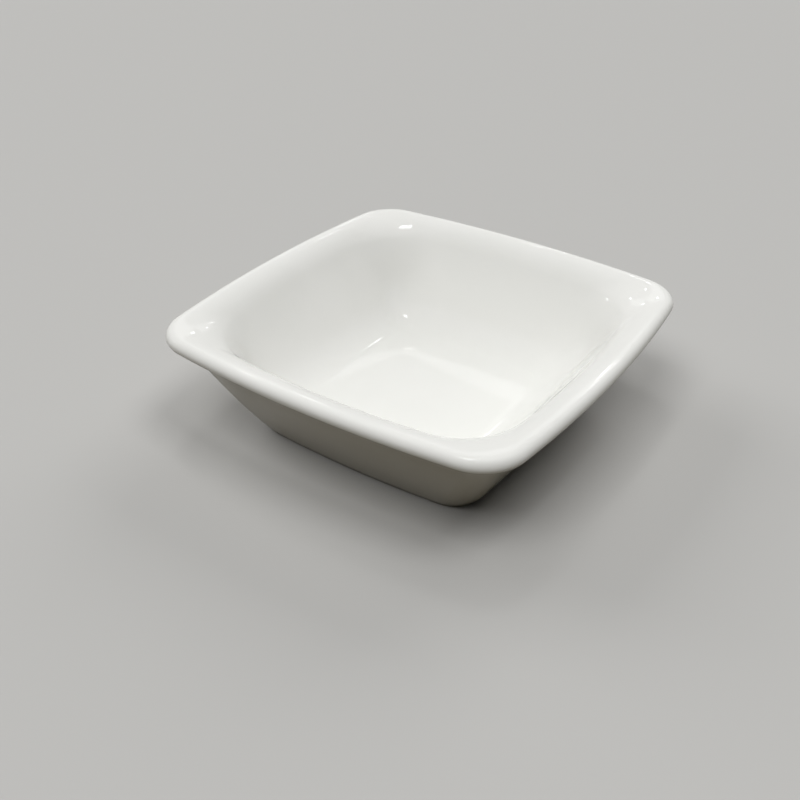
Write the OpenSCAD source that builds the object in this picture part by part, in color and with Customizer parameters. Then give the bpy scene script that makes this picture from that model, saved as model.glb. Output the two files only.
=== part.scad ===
// Square dish for soy sauce: one pressed porcelain body under a fired glaze.
// The glaze is a coat of glass fused over the clay. The foot ring that the dish stands on is
// wiped bare before firing, so the coat is in two pieces: one over the dish and one under it.

/* [Rim] */
// Width across the rim, from the middle of one side to the middle of the opposite side
rim_w = 90; // [82:1:105]
// Height of the rim's top above the table
dish_h = 26.5; // [23:0.5:31]
// Corner radius of the rim's outer edge, seen from above
rim_corner_r = 10.6; // [8:0.1:16]
// How far each side of the rim bows out from the line between its corners
rim_bow = 3; // [1:0.1:5]
// Thickness of the lip at its rounded outer edge
lip_d = 3.2; // [2.6:0.1:4.2]
// How far the lip's outer edge stands out from the wall, at the edge's own height
lip_overhang = 2.4; // [1.6:0.1:3]
// Radius of the crease between the lip's underside and the wall
crease_r = 0.8; // [0.4:0.1:1.2]

/* [Wall and well] */
// Thickness of the wall beside the lip, with its glaze
wall_top_t = 3.8; // [3:0.1:5]
// Thickness of the wall at the foot, with its glaze
wall_foot_t = 6.4; // [3:0.1:7.5]
// How far the outside of the wall bows out between the foot and the lip
wall_bow = 0.4; // [0.2:0.1:1.5]
// How far the inside of the wall bows out between the floor and the rim
well_bow = 0.2; // [0.1:0.1:2]
// Thickness of the base between the well and the recess under it, with its glaze
base_t = 5; // [2.5:0.1:6]
// Radius of the turn from the well's floor to its wall
well_turn_r = 10.5; // [4:0.5:13]
// Corner radius of the well's mouth, under the rim
mouth_corner_r = 16; // [9:0.1:18]
// Corner radius of the well at the foot of its wall
well_corner_r = 6; // [4:0.1:11]
// Corner radius of the well's flat floor
floor_corner_r = 3; // [2:0.1:9]
// How far each side of the flat floor bows out
floor_bow = 0.9; // [0.4:0.1:2]

/* [Foot] */
// Width across the wall's outside where it would meet the table, if its edge were not rounded
foot_w = 56.2; // [50:0.2:64]
// Corner radius of the foot's outer edge
foot_corner_r = 6.9; // [6:0.1:11]
// How far each side of the foot bows out
foot_bow = 1.5; // [0.4:0.1:2.5]
// Radius of the rounded edges on both sides of the foot ring
foot_edge_r = 1.2; // [0.6:0.1:1.4]
// Width of the flat that the dish stands on
foot_flat_w = 1.8; // [1.2:0.1:2.4]
// Height of the glazed recess inside the foot ring above the table
recess_h = 1.5; // [1.3:0.1:2.5]
// Radius of the turn from the foot ring up into the recess
recess_turn_r = 0.6; // [0.3:0.1:1]

/* [Glaze] */
// Thickness of the glaze
glaze_t = 0.3; // [0.15:0.05:0.4]
// Width over which the glaze rounds off to nothing beside the bare foot ring
glaze_edge_w = 0.5; // [0.3:0.1:0.7]

/* [Smoothness] */
// Facets along each side
side_steps = 8; // [4:1:10]
// Facets around each corner
corner_steps = 8; // [4:1:10]
// Facets around the lip
lip_steps = 9; // [6:1:12]
// Facets up each face of the wall
wall_steps = 6; // [4:1:8]
// Facets in each of the smaller turns
turn_steps = 4; // [3:1:6]

/* [Hidden] */
quarter = 90;
half_turn = 180;
// Slope of the foot ring's inner side, away from the table
foot_side_slope = 60;
// Spare length of the block that trims the foot level
overrun = 1;

// The profile is the clay's, in the plane that cuts the middle of one side: x is the distance
// from the dish's axis and z the height. Its arcs and lines run into each other with no corner.
rim_x = rim_w / 2 - glaze_t;
top_z = dish_h - glaze_t;
lip_r = lip_d / 2 - glaze_t;
lip_x = rim_x - lip_r;
lip_z = top_z - lip_r;
underside_z = recess_h + glaze_t;
floor_z = recess_h + base_t - glaze_t;

// An arc through two points that bows to the right of the way from low to high: [centre, radius]
function bowed(low, high, bow) =
    let (chord = norm(high - low), along = (high - low) / chord,
        r = (pow(chord / 2, 2) + bow * bow) / (2 * bow))
    [(low + high) / 2 + (r - bow) * [-along.y, along.x], r];

// The wall's two faces are arcs, each about a centre above the well and past the axis
wall_low = [foot_w / 2, 0];
wall_high = [rim_x - lip_overhang, lip_z];
wall_along = (wall_high - wall_low) / norm(wall_high - wall_low);
wall_inward = [-wall_along.y, wall_along.x];
outer = bowed(wall_low, wall_high, wall_bow);
inner = bowed(wall_low + wall_inward * (wall_foot_t - 2 * glaze_t),
    wall_high + wall_inward * (wall_top_t - 2 * glaze_t), well_bow);
outer_c = outer[0];
outer_r = outer[1];
inner_c = inner[0];
inner_r = inner[1];

// The turn at the well's floor touches the floor and the wall's inner face
turn_r = well_turn_r + glaze_t;
turn_z = floor_z + turn_r;
turn_x = inner_c.x + sqrt(pow(inner_r - turn_r, 2) - pow(turn_z - inner_c.y, 2));
turn_end = atan2(turn_z - inner_c.y, turn_x - inner_c.x);

// The roll into the well touches the crest of the lip and the wall's inner face
crest = [lip_x, top_z] - inner_c;
roll_r = (crest * crest - inner_r * inner_r) / (2 * (inner_r + crest.y));
roll_z = top_z - roll_r;
roll_end = atan2(roll_z - inner_c.y, lip_x - inner_c.x);

// The crease touches the lip from below and the wall's outer face
fold_r = crease_r + glaze_t;
lip_off = [lip_x, lip_z] - outer_c;
fold_along = (lip_off * lip_off + pow(outer_r + fold_r, 2) - pow(lip_r + fold_r, 2))
    / (2 * norm(lip_off));
fold_aside = sqrt(pow(outer_r + fold_r, 2) - fold_along * fold_along);
fold_c = outer_c + (fold_along * lip_off + fold_aside * [lip_off.y, -lip_off.x]) / norm(lip_off);
lip_end = atan2(fold_c.y - lip_z, fold_c.x - lip_x);
fold_end = atan2(fold_c.y - outer_c.y, fold_c.x - outer_c.x);

// The foot ring's outer edge touches the table and the wall's outer face, and the glaze stops
// where that edge begins
foot_x = outer_c.x + sqrt(pow(outer_r - foot_edge_r, 2) - pow(foot_edge_r - outer_c.y, 2));
foot_end = atan2(foot_edge_r - outer_c.y, foot_x - outer_c.x);
glaze_end = foot_end + glaze_edge_w / outer_r * half_turn / PI;
foot_in_x = foot_x - foot_flat_w;

// The foot ring's inner side: its rounded edge, a straight slope and the turn into the recess
step_r = recess_turn_r + glaze_t;
slope_run = (underside_z - (foot_edge_r + step_r) * (1 - cos(foot_side_slope)))
    / tan(foot_side_slope);
step_x = foot_in_x - (foot_edge_r + step_r) * sin(foot_side_slope) - slope_run;
step_z = underside_z - step_r;

// A station is a point of the profile, the way out of the clay there, the corner radius and
// the bow of the ring through it, and the share of the full glaze that lies on it
function arc(c, r, from, to, steps, out, corner, bow, glaze = function(t) 1) =
    [for (i = [0 : steps])
        let (t = i / steps, angle = from + (to - from) * t, away = [cos(angle), sin(angle)])
        [c + r * away, out * away, corner(t), bow(t), glaze(t)]];

function tail(list) = [for (i = [1 : len(list) - 1]) list[i]];
function backwards(list) = [for (i = [len(list) - 1 : -1 : 0]) list[i]];
function mix(a, b, t) = a + (b - a) * t * t * (3 - 2 * t);

// Around the lip the rings are true offsets of the rim, and around the foot of the foot's edge
function lip_corner(x) = rim_corner_r - (rim_w / 2 - x);
function foot_corner(x) = foot_corner_r - (foot_x + foot_edge_r * cos(foot_end) - x);

// From the middle of the well's floor, up its wall, over the rim and down to the glaze's edge
coated = concat(
    [[[0, floor_z], [0, 1], 0, 0, 1]],
    arc([turn_x, turn_z], turn_r, -quarter, turn_end, turn_steps + 1, -1,
        function(t) mix(floor_corner_r, well_corner_r, t),
        function(t) mix(floor_bow, foot_bow, t)),
    tail(arc(inner_c, inner_r, turn_end, roll_end, wall_steps, -1,
        function(t) mix(well_corner_r, mouth_corner_r, t),
        function(t) mix(foot_bow, rim_bow, t))),
    tail(arc([lip_x, roll_z], roll_r, roll_end + half_turn, quarter, turn_steps + 1, 1,
        function(t) mix(mouth_corner_r, lip_corner(lip_x), t),
        function(t) rim_bow)),
    tail(arc([lip_x, lip_z], lip_r, quarter, lip_end, lip_steps, 1,
        function(t) lip_corner(lip_x + lip_r * cos(quarter + (lip_end - quarter) * t)),
        function(t) rim_bow)),
    tail(arc(fold_c, fold_r, lip_end + half_turn, fold_end + half_turn, turn_steps, -1,
        function(t) lip_corner(fold_c.x - fold_r * cos(lip_end + (fold_end - lip_end) * t)),
        function(t) rim_bow)),
    tail(arc(outer_c, outer_r, fold_end, glaze_end, wall_steps, 1,
        function(t) mix(lip_corner(outer_c.x + outer_r * cos(fold_end)), foot_corner_r, t),
        function(t) mix(rim_bow, foot_bow, t))),
    tail(arc(outer_c, outer_r, glaze_end, foot_end, turn_steps - 1, 1,
        function(t) foot_corner_r,
        function(t) foot_bow,
        function(t) sqrt(1 - t * t)))
);

// The bare foot ring, from the edge of the glaze outside it to the edge of the glaze inside it
bare = concat(
    arc([foot_x, foot_edge_r], foot_edge_r, foot_end, -quarter, turn_steps, 1,
        function(t) foot_corner(foot_x + foot_edge_r * cos(foot_end - (quarter + foot_end) * t)),
        function(t) foot_bow),
    arc([foot_in_x, foot_edge_r], foot_edge_r, -quarter, -quarter - foot_side_slope, turn_steps, 1,
        function(t) foot_corner(foot_in_x + foot_edge_r * cos(-quarter - foot_side_slope * t)),
        function(t) foot_bow)
);

// Under the base, from the inner edge of the foot ring to the middle
slope_low = bare[len(bare) - 1];
slope_edge = slope_low[0] + glaze_edge_w * [-cos(foot_side_slope), sin(foot_side_slope)];
hidden_glaze = function(t) sqrt(1 - pow(1 - t, 2));
covered = concat(
    [for (i = [0 : turn_steps - 1])
        let (t = i / (turn_steps - 1), p = slope_low[0] * (1 - t) + slope_edge * t)
        [p, slope_low[1], foot_corner(p.x), foot_bow, hidden_glaze(t)]],
    arc([step_x, step_z], step_r, quarter - foot_side_slope, quarter, turn_steps, -1,
        function(t) foot_corner(step_x + step_r * cos(quarter - foot_side_slope * (1 - t))),
        function(t) foot_bow),
    [[[0, underside_z], [0, -1], 0, 0, 1]]
);

// A level is a ring of the surface that lies a share of the glaze outside the clay:
// half width, height, corner radius and bow
function level(s, glazed) =
    let (skin = glazed ? glaze_t * s[4] : 0)
    [s[0].x + s[1].x * skin, s[0].y + s[1].y * skin, s[2] + s[1].x * skin, s[3]];
function levels(stations, glazed = false) = [for (s = stations) level(s, glazed)];

// A square ring with bowed sides and round corners, as one list of points
function ring(l) =
    let (w = l[0], z = l[1], corner = l[2], bow = l[3],
        side_r = (pow(w - bow, 2) + bow * bow) / (2 * bow),
        side_x = w - side_r,
        corner_x = (side_x + sqrt(2 * pow(side_r - corner, 2) - side_x * side_x)) / 2,
        meet = atan2(corner_x, corner_x - side_x),
        turn = quarter - 2 * meet,
        side = [for (i = [0 : side_steps - 1])
            let (a = meet * (2 * i / side_steps - 1))
            [side_x + side_r * cos(a), side_r * sin(a)]],
        bend = [for (i = [0 : corner_steps - 1])
            let (a = meet + turn * i / corner_steps)
            [corner_x + corner * cos(a), corner_x + corner * sin(a)]])
    [for (a = [0 : quarter : 3 * quarter], p = concat(side, bend))
        [p.x * cos(a) - p.y * sin(a), p.x * sin(a) + p.y * cos(a), z]];

// A closed skin through the levels, from one point on the axis to another
module loft(levels) {
    last = len(levels) - 1;
    count = 4 * (side_steps + corner_steps);
    points = concat(
        [[0, 0, levels[0][1]], [0, 0, levels[last][1]]],
        [for (i = [1 : last - 1], p = ring(levels[i])) p]
    );
    function at(i, j) = 2 + (i - 1) * count + j % count;
    faces = concat(
        [for (j = [0 : count - 1]) [0, at(1, j + 1), at(1, j)]],
        [for (i = [1 : last - 2], j = [0 : count - 1]) [at(i, j), at(i, j + 1), at(i + 1, j + 1)]],
        [for (i = [1 : last - 2], j = [0 : count - 1]) [at(i, j), at(i + 1, j + 1), at(i + 1, j)]],
        [for (j = [0 : count - 1]) [1, at(last - 1, j), at(last - 1, j + 1)]]
    );
    polyhedron(points, faces);
}

// The fired clay, trimmed level where it stands
module porcelain_body() {
    color("linen")
        intersection() {
            loft(levels(concat(coated, tail(bare), tail(covered))));
            translate([-rim_w, -rim_w, 0])
                cube([2 * rim_w, 2 * rim_w, dish_h + overrun]);
        }
}

// The glass over the well, the rim and the outside of the wall
module glaze_coat() {
    color("white")
        loft(concat(levels(coated, true), tail(backwards(levels(coated)))));
}

// The glass in the recess under the base
module base_glaze() {
    color("white")
        loft(concat(backwards(levels(covered)), tail(levels(covered, true))));
}

porcelain_body();
glaze_coat();
base_glaze();
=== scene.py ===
import math

import bpy
from mathutils import Matrix, Vector, noise


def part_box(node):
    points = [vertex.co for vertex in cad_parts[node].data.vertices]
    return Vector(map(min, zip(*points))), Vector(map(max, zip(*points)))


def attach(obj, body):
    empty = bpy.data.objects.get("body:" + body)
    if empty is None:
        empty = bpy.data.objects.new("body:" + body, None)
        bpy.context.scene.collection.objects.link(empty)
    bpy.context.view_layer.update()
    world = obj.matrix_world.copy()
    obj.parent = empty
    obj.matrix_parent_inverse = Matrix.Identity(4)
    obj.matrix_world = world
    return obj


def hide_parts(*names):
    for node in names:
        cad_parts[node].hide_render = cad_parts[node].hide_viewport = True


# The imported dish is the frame: its boxes give the sizes that the smooth meshes are built to
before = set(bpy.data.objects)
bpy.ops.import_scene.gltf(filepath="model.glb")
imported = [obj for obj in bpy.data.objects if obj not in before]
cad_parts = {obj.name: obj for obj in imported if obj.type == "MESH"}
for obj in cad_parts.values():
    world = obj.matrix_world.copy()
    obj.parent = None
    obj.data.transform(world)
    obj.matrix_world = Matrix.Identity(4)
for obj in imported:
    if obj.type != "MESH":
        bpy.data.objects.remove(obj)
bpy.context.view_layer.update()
coat_low, coat_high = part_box("glaze_coat")
clay_low, clay_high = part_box("porcelain_body")
under_low, under_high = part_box("base_glaze")

MM = 0.001
QUARTER = math.pi / 2
HALF_W = coat_high.x
DISH_H = coat_high.z
GLAZE_T = coat_high.z - clay_high.z
UNDERSIDE_Z = under_high.z

# Rim
RIM_CORNER_R = 10.6 * MM
RIM_BOW = 3 * MM
LIP_R = 1.6 * MM - GLAZE_T
LIP_OVERHANG = 2.4 * MM
CREASE_R = 0.8 * MM + GLAZE_T

# Wall and well
WALL_TOP_T = 3.8 * MM
WALL_FOOT_T = 6.4 * MM
WALL_BOW = 0.4 * MM
WELL_BOW = 0.2 * MM
BASE_T = 5 * MM
WELL_TURN_R = 10.5 * MM + GLAZE_T
MOUTH_CORNER_R = 16 * MM
WELL_CORNER_R = 6 * MM
FLOOR_CORNER_R = 3 * MM
FLOOR_BOW = 0.9 * MM

# Foot
FOOT_HALF_W = 28.1 * MM
FOOT_CORNER_R = 6.9 * MM
FOOT_BOW = 1.5 * MM
FOOT_EDGE_R = 1.2 * MM
FOOT_FLAT_W = 1.8 * MM
FOOT_SIDE_SLOPE = math.radians(60)
RECESS_TURN_R = 0.6 * MM + GLAZE_T
GLAZE_EDGE_W = 0.5 * MM

# Cage: faces along a quarter of each ring, and up the profile
SIDE_STEPS = 16
HALF_CORNER_STEPS = 6
WELL_TURN_STEPS = 8
WALL_STEPS = 14
ROLL_STEPS = 20
LIP_STEPS = 10
TURN_STEPS = 6
EDGE_STEPS = 5

# The pressed clay is never quite true: how far it wanders, over what distance, and how far from the
# table and from the top and sides of the box it starts to
WANDER = 0.004 * MM
WANDER_LENGTH = 17 * MM
WANDER_FADE_LOW = 4 * MM
WANDER_FADE_HIGH = 3 * MM

# Glaze: its colours, the size of its drifts of tone and of gloss, where it pooled, its specks and pits
GLAZE_WARM = (0.86, 0.858, 0.828, 1)
GLAZE_COOL = (0.84, 0.84, 0.808, 1)
GLAZE_POOLED = (0.825, 0.835, 0.79, 1)
GLAZE_SPECK = (0.30, 0.27, 0.21, 1)
GLAZE_TONE_SIZE = 22 * MM
GLAZE_GLOSS_SIZE = 6 * MM
GLAZE_ROUGH_LOW = 0.02
GLAZE_ROUGH_HIGH = 0.035
GLAZE_IOR = 1.5
POOL_TOP = 9 * MM
POOL_LOW = 5 * MM
POOL_SHARE = 0.35
PIT_SPACING = 9 * MM
PIT_SIZE = 0.16 * MM
PIT_DEPTH = 0.02 * MM
COAT_PIT_SHARE = 0.05
BASE_PIT_SHARE = 0.25

# Bare clay: its colours, the size of its drift of tone and of its grain, its stain and its specks
CLAY_LIGHT = (0.79, 0.755, 0.69, 1)
CLAY_DARK = (0.72, 0.68, 0.61, 1)
CLAY_GRAIN = (0.62, 0.575, 0.50, 1)
CLAY_STAIN = (0.45, 0.43, 0.40, 1)
CLAY_SPECK = (0.28, 0.2, 0.13, 1)
CLAY_TONE_SIZE = 3 * MM
CLAY_GRAIN_SIZE = 0.3 * MM
CLAY_GRAIN_SHARE = 0.5
STAIN_TOP = 0.35 * MM
STAIN_LOW = 0.05 * MM
STAIN_SHARE = 0.35
CLAY_SPECK_SPACING = 2 * MM
CLAY_SPECK_SIZE = 0.12 * MM
CLAY_SPECK_SHARE = 0.3
CLAY_GRIT_SIZE = 0.25 * MM
CLAY_GRIT_DEPTH = 0.05 * MM
CLAY_ROUGH_LOW = 0.75
CLAY_ROUGH_HIGH = 0.9

# Camera: what it aims at on the table, from where, and the lens on a 36 mm wide sensor
AIM = Vector((-6.82, -0.32, 0)) * MM
AIM_DISTANCE = 241.6 * MM
AIM_AZIMUTH = math.radians(34.01)
AIM_ELEVATION = math.radians(33.81)
AIM_ROLL = math.radians(0.777)
LENS = 45.99
SENSOR = 36
CLIP_START = 10 * MM
CLIP_END = 20

# Stage: the floor and backdrop as they are seen, and the light that they throw on the dish
PALE = (0.60, 0.595, 0.58, 1)
FLOOR_PAINT = (0.52, 0.515, 0.50, 1)
FLOOR_BOUNCE = (0.14, 0.12, 0.082, 1)
ROOM_LIGHT = (0.02, 0.02, 0.02, 1)
FLOOR_W = 6
FADE_START = 0.35
FADE_END = 1.3
LAMP_DISTANCE = 4


def bowed(low, high, bow):
    """Centre and radius of the arc through two profile points that bows to the right of the way up."""
    chord = high - low
    along = chord.normalized()
    r = ((chord.length / 2) ** 2 + bow ** 2) / (2 * bow)
    return (low + high) / 2 + (r - bow) * Vector((-along.y, along.x)), r


def mix(a, b, t):
    return a + (b - a) * t * t * (3 - 2 * t)


def arc(c, r, start, end, steps, out, corner, bow, glaze=lambda t: 1):
    """Stations along an arc: point, way out of the clay, corner radius, bow and share of the glaze."""
    found = []
    for i in range(steps + 1):
        t = i / steps
        angle = start + (end - start) * t
        away = Vector((math.cos(angle), math.sin(angle)))
        found.append((c + r * away, out * away, corner(t), bow(t), glaze(t)))
    return found


def profile():
    """The clay's profile as three runs of stations: under the coat, bare, and under the base glaze."""
    rim_x = HALF_W - GLAZE_T
    top_z = DISH_H - GLAZE_T
    lip_x = rim_x - LIP_R
    lip_z = top_z - LIP_R
    floor_z = UNDERSIDE_Z - 2 * GLAZE_T + BASE_T

    wall_low = Vector((FOOT_HALF_W, 0))
    wall_high = Vector((rim_x - LIP_OVERHANG, lip_z))
    along = (wall_high - wall_low).normalized()
    inward = Vector((-along.y, along.x))
    outer_c, outer_r = bowed(wall_low, wall_high, WALL_BOW)
    inner_c, inner_r = bowed(
        wall_low + inward * (WALL_FOOT_T - 2 * GLAZE_T),
        wall_high + inward * (WALL_TOP_T - 2 * GLAZE_T),
        WELL_BOW,
    )

    turn_z = floor_z + WELL_TURN_R
    turn_x = inner_c.x + math.sqrt((inner_r - WELL_TURN_R) ** 2 - (turn_z - inner_c.y) ** 2)
    turn_end = math.atan2(turn_z - inner_c.y, turn_x - inner_c.x)

    crest = Vector((lip_x, top_z)) - inner_c
    roll_r = (crest.length_squared - inner_r ** 2) / (2 * (inner_r + crest.y))
    roll_z = top_z - roll_r
    roll_end = math.atan2(roll_z - inner_c.y, lip_x - inner_c.x)

    lip_off = Vector((lip_x, lip_z)) - outer_c
    reach = outer_r + CREASE_R
    fold_along = (lip_off.length_squared + reach ** 2 - (LIP_R + CREASE_R) ** 2) / (2 * lip_off.length)
    fold_aside = math.sqrt(reach ** 2 - fold_along ** 2)
    aside = Vector((lip_off.y, -lip_off.x))
    fold_c = outer_c + (fold_along * lip_off + fold_aside * aside) / lip_off.length
    lip_end = math.atan2(fold_c.y - lip_z, fold_c.x - lip_x)
    fold_end = math.atan2(fold_c.y - outer_c.y, fold_c.x - outer_c.x)

    foot_x = outer_c.x + math.sqrt((outer_r - FOOT_EDGE_R) ** 2 - (FOOT_EDGE_R - outer_c.y) ** 2)
    foot_end = math.atan2(FOOT_EDGE_R - outer_c.y, foot_x - outer_c.x)
    glaze_end = foot_end + GLAZE_EDGE_W / outer_r
    foot_in_x = foot_x - FOOT_FLAT_W

    run_up = UNDERSIDE_Z - (FOOT_EDGE_R + RECESS_TURN_R) * (1 - math.cos(FOOT_SIDE_SLOPE))
    slope_run = run_up / math.tan(FOOT_SIDE_SLOPE)
    step_x = foot_in_x - (FOOT_EDGE_R + RECESS_TURN_R) * math.sin(FOOT_SIDE_SLOPE) - slope_run
    step_z = UNDERSIDE_Z - RECESS_TURN_R

    def lip_corner(x):
        return RIM_CORNER_R - (HALF_W - x)

    def foot_corner(x):
        return FOOT_CORNER_R - (foot_x + FOOT_EDGE_R * math.cos(foot_end) - x)

    coated = arc(
        Vector((turn_x, turn_z)), WELL_TURN_R, -QUARTER, turn_end, WELL_TURN_STEPS, -1,
        lambda t: mix(FLOOR_CORNER_R, WELL_CORNER_R, t),
        lambda t: mix(FLOOR_BOW, FOOT_BOW, t),
    )
    coated += arc(
        inner_c, inner_r, turn_end, roll_end, WALL_STEPS, -1,
        lambda t: mix(WELL_CORNER_R, MOUTH_CORNER_R, t),
        lambda t: mix(FOOT_BOW, RIM_BOW, t),
    )[1:]
    coated += arc(
        Vector((lip_x, roll_z)), roll_r, roll_end + math.pi, QUARTER, ROLL_STEPS, 1,
        lambda t: mix(MOUTH_CORNER_R, lip_corner(lip_x), t),
        lambda t: RIM_BOW,
    )[1:]
    coated += arc(
        Vector((lip_x, lip_z)), LIP_R, QUARTER, lip_end, LIP_STEPS, 1,
        lambda t: lip_corner(lip_x + LIP_R * math.cos(QUARTER + (lip_end - QUARTER) * t)),
        lambda t: RIM_BOW,
    )[1:]
    coated += arc(
        fold_c, CREASE_R, lip_end + math.pi, fold_end + math.pi, TURN_STEPS, -1,
        lambda t: lip_corner(fold_c.x - CREASE_R * math.cos(lip_end + (fold_end - lip_end) * t)),
        lambda t: RIM_BOW,
    )[1:]
    coated += arc(
        outer_c, outer_r, fold_end, glaze_end, WALL_STEPS, 1,
        lambda t: mix(lip_corner(outer_c.x + outer_r * math.cos(fold_end)), FOOT_CORNER_R, t),
        lambda t: mix(RIM_BOW, FOOT_BOW, t),
    )[1:]
    coated += arc(
        outer_c, outer_r, glaze_end, foot_end, EDGE_STEPS, 1,
        lambda t: FOOT_CORNER_R,
        lambda t: FOOT_BOW,
        lambda t: math.sqrt(1 - t * t),
    )[1:]

    bare = arc(
        Vector((foot_x, FOOT_EDGE_R)), FOOT_EDGE_R, foot_end, -QUARTER, EDGE_STEPS, 1,
        lambda t: foot_corner(foot_x + FOOT_EDGE_R * math.cos(foot_end - (QUARTER + foot_end) * t)),
        lambda t: FOOT_BOW,
    )
    bare += arc(
        Vector((foot_in_x, FOOT_EDGE_R)), FOOT_EDGE_R, -QUARTER, -QUARTER - FOOT_SIDE_SLOPE, EDGE_STEPS, 1,
        lambda t: foot_corner(foot_in_x + FOOT_EDGE_R * math.cos(-QUARTER - FOOT_SIDE_SLOPE * t)),
        lambda t: FOOT_BOW,
    )

    low, away = bare[-1][0], bare[-1][1]
    up_slope = GLAZE_EDGE_W * Vector((-math.cos(FOOT_SIDE_SLOPE), math.sin(FOOT_SIDE_SLOPE)))
    covered = []
    for i in range(EDGE_STEPS + 1):
        t = i / EDGE_STEPS
        p = low + up_slope * t
        covered.append((p, away, foot_corner(p.x), FOOT_BOW, math.sqrt(1 - (1 - t) ** 2)))
    covered += arc(
        Vector((step_x, step_z)), RECESS_TURN_R, QUARTER - FOOT_SIDE_SLOPE, QUARTER, TURN_STEPS, -1,
        lambda t: foot_corner(step_x + RECESS_TURN_R * math.cos(QUARTER - FOOT_SIDE_SLOPE * (1 - t))),
        lambda t: FOOT_BOW,
    )
    return coated, bare, covered


def clay(stations):
    """Rings of the clay's surface: half width, height, corner radius and bow."""
    return [(p.x, p.y, corner, bow) for p, out, corner, bow, share in stations]


def glass(stations):
    """Rings of the glaze's surface, its own thickness outside the clay."""
    found = []
    for p, out, corner, bow, share in stations:
        skin = GLAZE_T * share
        found.append((p.x + out.x * skin, p.y + out.y * skin, corner + out.x * skin, bow))
    return found


def ring(w, z, corner, bow):
    """A square ring with bowed sides and round corners, from the middle of one corner round to it again."""
    side_r = ((w - bow) ** 2 + bow ** 2) / (2 * bow)
    side_x = w - side_r
    corner_x = (side_x + math.sqrt(2 * (side_r - corner) ** 2 - side_x ** 2)) / 2
    meet = math.atan2(corner_x, corner_x - side_x)
    turn = QUARTER / 2 - meet
    quarter = []
    for i in range(HALF_CORNER_STEPS):
        a = QUARTER / 2 - turn * i / HALF_CORNER_STEPS
        quarter.append((corner_x + corner * math.cos(a), -corner_x - corner * math.sin(a)))
    for i in range(SIDE_STEPS + 1):
        a = meet * (2 * i / SIDE_STEPS - 1)
        quarter.append((side_x + side_r * math.cos(a), side_r * math.sin(a)))
    for i in range(1, HALF_CORNER_STEPS):
        a = meet + turn * i / HALF_CORNER_STEPS
        quarter.append((corner_x + corner * math.cos(a), corner_x + corner * math.sin(a)))
    points = []
    for k in range(4):
        c, s = round(math.cos(k * QUARTER)), round(math.sin(k * QUARTER))
        points += [Vector((x * c - y * s, x * s + y * c, z)) for x, y in quarter]
    return points


def patch(points, start, count):
    """A square grid of points that fills the ring at start, as {(column, row): index}. Adds its points."""
    across = count // 4
    grid = {}
    for j in range(count):
        side, at = divmod(j, across)
        spot = ((across, at), (across - at, across), (0, across - at), (at, 0))[side]
        grid[spot] = start + j
    for a in range(1, across):
        for b in range(1, across):
            u, v = a / across, b / across
            sides = (
                points[grid[0, b]] * (1 - u) + points[grid[across, b]] * u
                + points[grid[a, 0]] * (1 - v) + points[grid[a, across]] * v
            )
            corners = (
                points[grid[0, 0]] * (1 - u) * (1 - v) + points[grid[across, 0]] * u * (1 - v)
                + points[grid[0, across]] * (1 - u) * v + points[grid[across, across]] * u * v
            )
            grid[a, b] = len(points)
            points.append(sides - corners)
    return grid


def loft(name, rings):
    """A closed skin of quads: a patch that looks up in the first ring, every ring, one that looks down."""
    points = [p for one in rings for p in ring(*one)]
    count = len(points) // len(rings)
    across = count // 4
    faces = []
    for i in range(len(rings) - 1):
        for j in range(count):
            k = (j + 1) % count
            faces.append((i * count + j, (i + 1) * count + j, (i + 1) * count + k, i * count + k))
    top = patch(points, 0, count)
    bottom = patch(points, (len(rings) - 1) * count, count)
    for a in range(across):
        for b in range(across):
            corners = ((a, b), (a + 1, b), (a + 1, b + 1), (a, b + 1))
            faces.append([top[c] for c in corners])
            faces.append([bottom[c] for c in reversed(corners)])
    mesh = bpy.data.meshes.new(name)
    mesh.from_pydata(points, [], faces)
    made = bpy.data.objects.new(name, mesh)
    bpy.context.scene.collection.objects.link(made)
    return made


def wander(p):
    """The point moved as the pressed clay wanders, alike for clay and glass, and never out of the box."""
    drift = noise.noise_vector(p / WANDER_LENGTH)
    off_table = min(1, p.z / WANDER_FADE_LOW)
    off_top = min(1, (DISH_H - p.z) / WANDER_FADE_HIGH)
    off_side = min(1, (HALF_W - max(abs(p.x), abs(p.y))) / WANDER_FADE_HIGH)
    inner = max(0, off_top) * max(0, off_side) * off_table
    return p + WANDER * inner * drift


def settle(piece):
    """Rounds the cage into a fine smooth mesh, and lets it wander."""
    rounding = piece.modifiers.new("rounding", "SUBSURF")
    rounding.levels = 1
    rounding.render_levels = 1
    graph = bpy.context.evaluated_depsgraph_get()
    fine = bpy.data.meshes.new_from_object(piece.evaluated_get(graph))
    piece.modifiers.clear()
    cage, piece.data = piece.data, fine
    fine.name = piece.name
    bpy.data.meshes.remove(cage)
    for vertex in fine.vertices:
        vertex.co = wander(vertex.co)
    fine.shade_smooth()
    return piece


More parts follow.
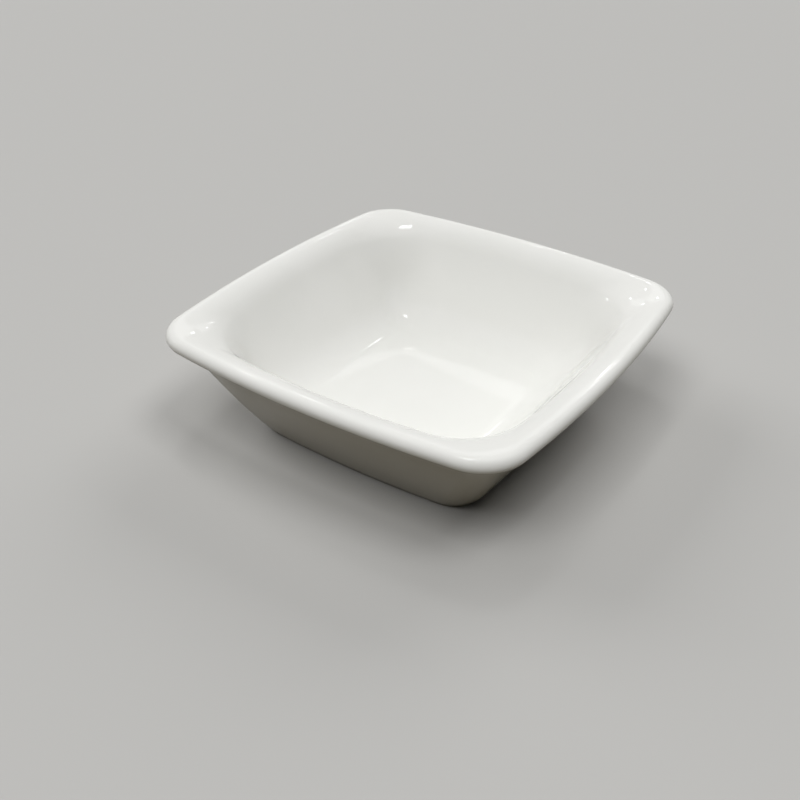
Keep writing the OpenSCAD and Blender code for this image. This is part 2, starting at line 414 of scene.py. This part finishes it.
class Graph:
    """Adds the nodes of one material or world. An input's value is a number, a colour or another socket."""

    def __init__(self, owner):
        owner.use_nodes = True
        self.tree = owner.node_tree
        self.tree.nodes.clear()

    def add(self, kind, inputs=None, output=0, **settings):
        node = self.tree.nodes.new("ShaderNode" + kind)
        for name, value in settings.items():
            setattr(node, name, value)
        for name, value in (inputs or {}).items():
            if isinstance(value, bpy.types.NodeSocket):
                self.tree.links.new(value, node.inputs[name])
            else:
                node.inputs[name].default_value = value
        return node.outputs[output]

    def finish(self, shader, kind="Material"):
        """Ends the graph in this shader."""
        output = self.tree.nodes.new("ShaderNodeOutput" + kind)
        self.tree.links.new(shader, output.inputs["Surface"])

    def noise(self, where, size, detail=2):
        """Noise from 0 to 1 whose lumps are about size metres apart."""
        return self.add("TexNoise", {"Vector": where, "Scale": 1 / size, "Detail": detail})

    def ramp(self, value, low, high, to_low=0, to_high=1):
        inputs = {"Value": value, "From Min": low, "From Max": high, "To Min": to_low, "To Max": to_high}
        return self.add("MapRange", inputs, interpolation_type="SMOOTHSTEP")

    def math(self, operation, a, b):
        return self.add("Math", {0: a, 1: b}, operation=operation)

    def colour(self, factor, a, b):
        """Colour a where the factor is 0 and colour b where it is 1."""
        return self.add("Mix", {0: factor, 6: a, 7: b}, output=2, data_type="RGBA")

    def specks(self, where, spacing, size, kept):
        """1 in small round specks, about spacing apart, of which only the kept share shows."""
        cells = {"Vector": where, "Scale": 1 / spacing}
        distance = self.add("TexVoronoi", cells)
        chance = self.add("SeparateColor", {0: self.add("TexVoronoi", cells, output=1)})
        near = self.ramp(distance, size / spacing, size / spacing / 2)
        return self.math("MULTIPLY", near, self.math("LESS_THAN", chance, kept))


def glaze_material(name, pit_share):
    """White glaze: clear glossy glass over pale clay, cooler where it pooled, with a few specks."""
    material = bpy.data.materials.new(name)
    graph = Graph(material)
    where = graph.add("TexCoord", output=3)
    height = graph.add("SeparateXYZ", {0: where}, output=2)
    tone = graph.ramp(graph.noise(where, GLAZE_TONE_SIZE), 0.35, 0.65)
    colour = graph.colour(tone, GLAZE_WARM, GLAZE_COOL)
    pooled = graph.ramp(height, POOL_TOP, POOL_LOW, 0, POOL_SHARE)
    colour = graph.colour(pooled, colour, GLAZE_POOLED)
    specks = graph.specks(where, PIT_SPACING, PIT_SIZE, pit_share)
    colour = graph.colour(specks, colour, GLAZE_SPECK)
    gloss = graph.noise(where, GLAZE_GLOSS_SIZE, detail=4)
    rough = graph.ramp(gloss, 0.3, 0.7, GLAZE_ROUGH_LOW, GLAZE_ROUGH_HIGH)
    pits = graph.math("MULTIPLY", specks, -PIT_DEPTH)
    normal = graph.add("Bump", {"Height": pits, "Distance": 1.0, "Strength": 1.0})
    look = {"Base Color": colour, "Roughness": rough, "Normal": normal, "IOR": GLAZE_IOR}
    graph.finish(graph.add("BsdfPrincipled", look))
    return material


def clay_material():
    """Bare fired porcelain: warm, dry and fine grained, and greyer where it has stood on tables."""
    material = bpy.data.materials.new("bare porcelain")
    graph = Graph(material)
    where = graph.add("TexCoord", output=3)
    height = graph.add("SeparateXYZ", {0: where}, output=2)
    tone = graph.ramp(graph.noise(where, CLAY_TONE_SIZE, detail=3), 0.35, 0.65)
    colour = graph.colour(tone, CLAY_LIGHT, CLAY_DARK)
    grain = graph.ramp(graph.noise(where, CLAY_GRAIN_SIZE), 0.4, 0.7, 0, CLAY_GRAIN_SHARE)
    colour = graph.colour(grain, colour, CLAY_GRAIN)
    worn = graph.ramp(height, STAIN_TOP, STAIN_LOW, 0, STAIN_SHARE)
    colour = graph.colour(worn, colour, CLAY_STAIN)
    specks = graph.specks(where, CLAY_SPECK_SPACING, CLAY_SPECK_SIZE, CLAY_SPECK_SHARE)
    colour = graph.colour(specks, colour, CLAY_SPECK)
    relief = graph.math("MULTIPLY", graph.noise(where, CLAY_GRIT_SIZE, detail=3), CLAY_GRIT_DEPTH)
    normal = graph.add("Bump", {"Height": relief, "Distance": 1.0, "Strength": 1.0})
    rough = graph.ramp(tone, 0, 1, CLAY_ROUGH_LOW, CLAY_ROUGH_HIGH)
    graph.finish(graph.add("BsdfPrincipled", {"Base Color": colour, "Roughness": rough, "Normal": normal}))
    return material


def place_camera():
    """The camera at the photograph's angle."""
    back = Vector((
        math.sin(AIM_AZIMUTH) * math.cos(AIM_ELEVATION),
        -math.cos(AIM_AZIMUTH) * math.cos(AIM_ELEVATION),
        math.sin(AIM_ELEVATION),
    ))
    data = bpy.data.cameras.new("camera")
    data.lens = LENS
    data.sensor_width = SENSOR
    data.clip_start = CLIP_START
    data.clip_end = CLIP_END
    camera = bpy.data.objects.new("camera", data)
    bpy.context.scene.collection.objects.link(camera)
    turn = back.to_track_quat("Z", "Y").to_matrix().to_4x4() @ Matrix.Rotation(AIM_ROLL, 4, "Z")
    camera.matrix_world = Matrix.Translation(AIM + back * AIM_DISTANCE) @ turn
    bpy.context.scene.camera = camera


def lamp(name, azimuth, tilt, wide, high, light, turn=0, seen=False):
    """A flat lamp that faces the dish and gives it this much light, in W per square metre.

    Azimuth is 0 along +Y and tilt is 0 overhead. How wide and high it looks from the dish are angles too,
    and so is its turn about the way that it faces. The glaze mirrors it only where it is seen.
    """
    a, t = math.radians(azimuth), math.radians(tilt)
    away = Vector((math.sin(a) * math.sin(t), math.cos(a) * math.sin(t), math.cos(t)))
    data = bpy.data.lights.new(name, "AREA")
    data.shape = "RECTANGLE"
    data.size = 2 * LAMP_DISTANCE * math.tan(math.radians(wide) / 2)
    data.size_y = 2 * LAMP_DISTANCE * math.tan(math.radians(high) / 2)
    data.energy = light * math.pi * LAMP_DISTANCE ** 2
    made = bpy.data.objects.new(name, data)
    bpy.context.scene.collection.objects.link(made)
    facing = away.to_track_quat("Z", "Y").to_matrix().to_4x4() @ Matrix.Rotation(math.radians(turn), 4, "Z")
    made.matrix_world = Matrix.Translation(away * LAMP_DISTANCE) @ facing
    made.visible_glossy = seen
    made.visible_transmission = seen
    return made


def build_lights():
    """Soft light from four big lamps that the glaze never mirrors, two dim cards, and small sparkles."""
    lamp("key", azimuth=180, tilt=31, wide=25, high=25, light=1.34)
    lamp("left_fill", azimuth=270, tilt=55, wide=35, high=35, light=1.06)
    lamp("back_fill", azimuth=0, tilt=57, wide=35, high=35, light=1.06)
    lamp("right_fill", azimuth=95, tilt=23, wide=20, high=20, light=0.84)
    lamp("right_card", azimuth=334, tilt=60.5, wide=12, high=8, turn=-19, light=0.018, seen=True)
    lamp("left_card", azimuth=318, tilt=60.5, wide=12, high=8, turn=19, light=0.018, seen=True)
    lamp("overhead", azimuth=315, tilt=19, wide=8, high=8, light=0.16, seen=True)
    lamp("lip_strip", azimuth=342, tilt=56.8, wide=6, high=0.6, light=0.011, seen=True)
    lamp("crest_spark", azimuth=323.5, tilt=64.5, wide=2, high=1.4, light=0.004, seen=True)
    lamp("left_spark", azimuth=262, tilt=60, wide=4, high=4, light=0.03, seen=True)
    lamp("back_spark", azimuth=330.5, tilt=53, wide=1.1, high=1.1, light=0.0028, seen=True)
    lamp("twin_spark", azimuth=335, tilt=61.8, wide=1.2, high=1.2, light=0.0045, seen=True)
    lamp("corner_spark", azimuth=312, tilt=53.5, wide=1.8, high=1.8, light=0.01, seen=True)


def pale_ray(graph):
    """1 for the rays that show the floor and the backdrop, 0 for the light that they throw on the dish."""
    path = graph.tree.nodes.new("ShaderNodeLightPath")
    seen = graph.math("MAXIMUM", path.outputs["Is Camera Ray"], path.outputs["Is Glossy Ray"])
    return graph.math("MAXIMUM", seen, path.outputs["Is Transmission Ray"])


def build_stage():
    """A plain pale floor that fades into a backdrop of the same colour."""
    mesh = bpy.data.meshes.new("floor")
    half = FLOOR_W / 2
    corners = [(-half, -half, 0), (half, -half, 0), (half, half, 0), (-half, half, 0)]
    mesh.from_pydata(corners, [], [(0, 1, 2, 3)])
    floor = bpy.data.objects.new("floor", mesh)
    bpy.context.scene.collection.objects.link(floor)
    material = bpy.data.materials.new("floor")
    graph = Graph(material)
    colour = graph.colour(pale_ray(graph), FLOOR_BOUNCE, FLOOR_PAINT)
    lit = graph.add("BsdfDiffuse", {"Color": colour})
    plain = graph.add("Emission", {"Color": PALE, "Strength": 1.0})
    far = graph.add("VectorMath", {0: graph.add("TexCoord", output=3)}, output=1, operation="LENGTH")
    graph.finish(graph.add("MixShader", {0: graph.ramp(far, FADE_START, FADE_END), 1: lit, 2: plain}))
    mesh.materials.append(material)

    world = bpy.data.worlds.new("backdrop")
    bpy.context.scene.world = world
    graph = Graph(world)
    colour = graph.colour(pale_ray(graph), ROOM_LIGHT, PALE)
    graph.finish(graph.add("Background", {"Color": colour, "Strength": 1.0}), "World")


coated, bare, covered = profile()
place_camera()

clay_body = settle(loft("clay_body", clay(coated) + clay(bare)[1:] + clay(covered)[1:]))
clay_body.data.materials.append(clay_material())
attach(clay_body, "root")
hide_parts("porcelain_body")

glaze_skin = settle(loft("glaze_skin", glass(coated) + clay(coated)[-2::-1]))
glaze_skin.data.materials.append(glaze_material("white glaze", COAT_PIT_SHARE))
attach(glaze_skin, "root")
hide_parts("glaze_coat")

base_skin = settle(loft("base_skin", clay(covered)[::-1] + glass(covered)[1:]))
base_skin.data.materials.append(glaze_material("base glaze", BASE_PIT_SHARE))
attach(base_skin, "root")
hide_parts("base_glaze")

build_stage()
build_lights()

view = bpy.context.scene.view_settings
view.view_transform = "Standard"
